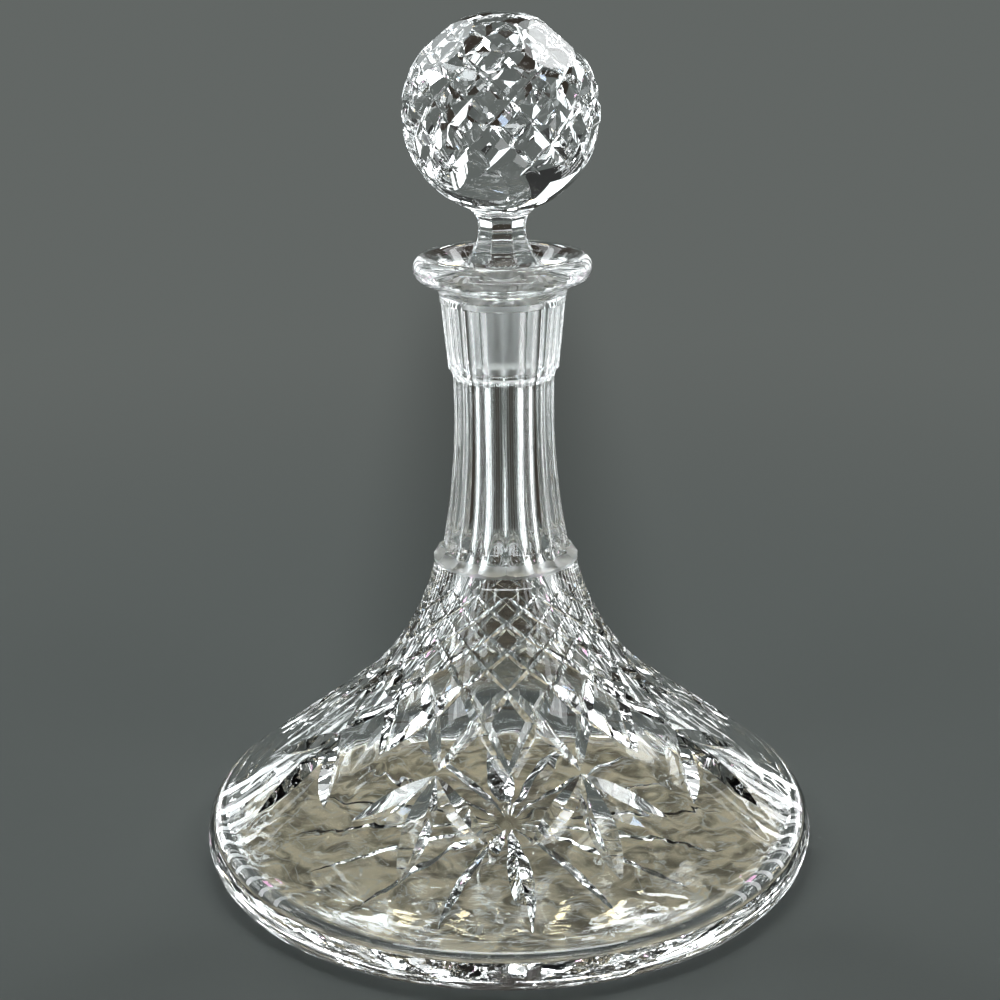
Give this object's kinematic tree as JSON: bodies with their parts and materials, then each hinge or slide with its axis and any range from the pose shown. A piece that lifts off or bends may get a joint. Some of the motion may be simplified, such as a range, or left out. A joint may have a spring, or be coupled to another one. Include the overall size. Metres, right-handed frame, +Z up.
{
  "type": "ship's decanter",
  "caption": "Cut-glass ship's decanter with a broad weighted foot, a fluted neck with a rolled lip, and a loose ball stopper ground into its mouth.",
  "frame": {"origin": "middle of the foot, on the table", "axes": "+Z up along the neck, -Y towards the viewer"},
  "size_m": [0.195, 0.1949, 0.2649],
  "materials": {
    "body_glass": "polished clear crystal",
    "stopper_glass": "polished clear crystal, ground on the plug"
  },
  "bodies": {
    "body": {"decanter_body": "body_glass"},
    "stopper": {"stopper": "stopper_glass"}
  },
  "joints": [
    {"name": "stopper_lift", "type": "slide", "parent": "body", "child": "stopper", "axis": [0, 0, 1], "range_m": [0, 0.05]}
  ]
}
